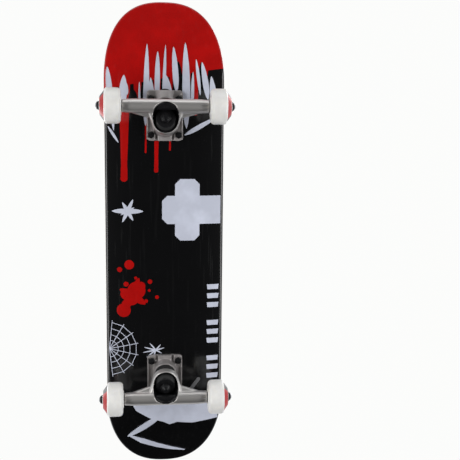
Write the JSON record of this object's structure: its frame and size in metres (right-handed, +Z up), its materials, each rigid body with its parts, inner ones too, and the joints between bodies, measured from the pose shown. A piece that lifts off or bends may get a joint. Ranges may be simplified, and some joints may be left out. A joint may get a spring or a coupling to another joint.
{
  "type": "skateboard",
  "caption": "Complete skateboard: pressed maple deck with grip tape, two sprung trucks and hard wheels on ball bearings.",
  "frame": {"origin": "on the ground, under the middle of the board's box", "axes": "+X to the nose, +Z up, +Y to the left of someone facing the nose"},
  "size_m": [0.7486, 0.202, 0.1377],
  "materials": {
    "deck": "gloss",
    "grip_tape": "matte",
    "cast_aluminium": "satin",
    "bright_steel": "polished",
    "black_steel": "satin",
    "bushing_rubber": "matte",
    "wheel_urethane": "gloss"
  },
  "bodies": {
    "board": {"deck": "deck", "grip_nose": "grip_tape", "grip_tail": "grip_tape", "mount_bolt_front_1": "black_steel", "mount_nut_front_1": "black_steel", "mount_bolt_front_2": "black_steel", "mount_nut_front_2": "black_steel", "mount_bolt_front_3": "black_steel", "mount_nut_front_3": "black_steel", "mount_bolt_front_4": "black_steel", "mount_nut_front_4": "black_steel", "mount_bolt_rear_1": "black_steel", "mount_nut_rear_1": "black_steel", "mount_bolt_rear_2": "black_steel", "mount_nut_rear_2": "black_steel", "mount_bolt_rear_3": "black_steel", "mount_nut_rear_3": "black_steel", "mount_bolt_rear_4": "black_steel", "mount_nut_rear_4": "black_steel", "baseplate_front": "cast_aluminium", "pivot_cup_front": "bushing_rubber", "kingpin_front": "black_steel", "washer_board_front": "black_steel", "bushing_board_front": "bushing_rubber", "bushing_road_front": "bushing_rubber", "washer_road_front": "black_steel", "kingpin_nut_front": "black_steel", "baseplate_rear": "cast_aluminium", "pivot_cup_rear": "bushing_rubber", "kingpin_rear": "black_steel", "washer_board_rear": "black_steel", "bushing_board_rear": "bushing_rubber", "bushing_road_rear": "bushing_rubber", "washer_road_rear": "black_steel", "kingpin_nut_rear": "black_steel"},
    "truck_front": {"hanger_front": "cast_aluminium", "axle_front": "bright_steel", "speed_washer_front_left": "bright_steel", "axle_nut_front_left": "black_steel", "speed_washer_front_right": "bright_steel", "axle_nut_front_right": "black_steel"},
    "wheelset_front_left": {"wheel_front_left": "wheel_urethane", "bearing_front_left_inner": "bright_steel", "bearing_front_left_outer": "bright_steel"},
    "wheelset_front_right": {"wheel_front_right": "wheel_urethane", "bearing_front_right_inner": "bright_steel", "bearing_front_right_outer": "bright_steel"},
    "truck_rear": {"hanger_rear": "cast_aluminium", "axle_rear": "bright_steel", "speed_washer_rear_left": "bright_steel", "axle_nut_rear_left": "black_steel", "speed_washer_rear_right": "bright_steel", "axle_nut_rear_right": "black_steel"},
    "wheelset_rear_left": {"wheel_rear_left": "wheel_urethane", "bearing_rear_left_inner": "bright_steel", "bearing_rear_left_outer": "bright_steel"},
    "wheelset_rear_right": {"wheel_rear_right": "wheel_urethane", "bearing_rear_right_inner": "bright_steel", "bearing_rear_right_outer": "bright_steel"}
  },
  "joints": [
    {"name": "steer_front", "type": "hinge", "parent": "board", "child": "truck_front", "pos_m": [0.19414, 0, 0.0422], "axis": [0.8198, 0, 0.5727], "range_deg": [-12, 12], "stiffness_Nm_per_rad": 45, "deforming": ["bushing_board_front", "bushing_road_front"]},
    {"name": "steer_rear", "type": "hinge", "parent": "board", "child": "truck_rear", "pos_m": [-0.20444, 0, 0.0422], "axis": [-0.8198, 0, 0.5727], "range_deg": [-12, 12], "stiffness_Nm_per_rad": 45, "deforming": ["bushing_board_rear", "bushing_road_rear"]},
    {"name": "spin_front_left", "type": "hinge", "parent": "truck_front", "child": "wheelset_front_left", "pos_m": [0.21664, 0.07975, 0.026], "axis": [0, 1, 0], "continuous": true},
    {"name": "spin_front_right", "type": "hinge", "parent": "truck_front", "child": "wheelset_front_right", "pos_m": [0.21664, -0.07975, 0.026], "axis": [0, 1, 0], "continuous": true},
    {"name": "spin_rear_left", "type": "hinge", "parent": "truck_rear", "child": "wheelset_rear_left", "pos_m": [-0.22694, 0.07975, 0.026], "axis": [0, 1, 0], "continuous": true},
    {"name": "spin_rear_right", "type": "hinge", "parent": "truck_rear", "child": "wheelset_rear_right", "pos_m": [-0.22694, -0.07975, 0.026], "axis": [0, 1, 0], "continuous": true}
  ]
}
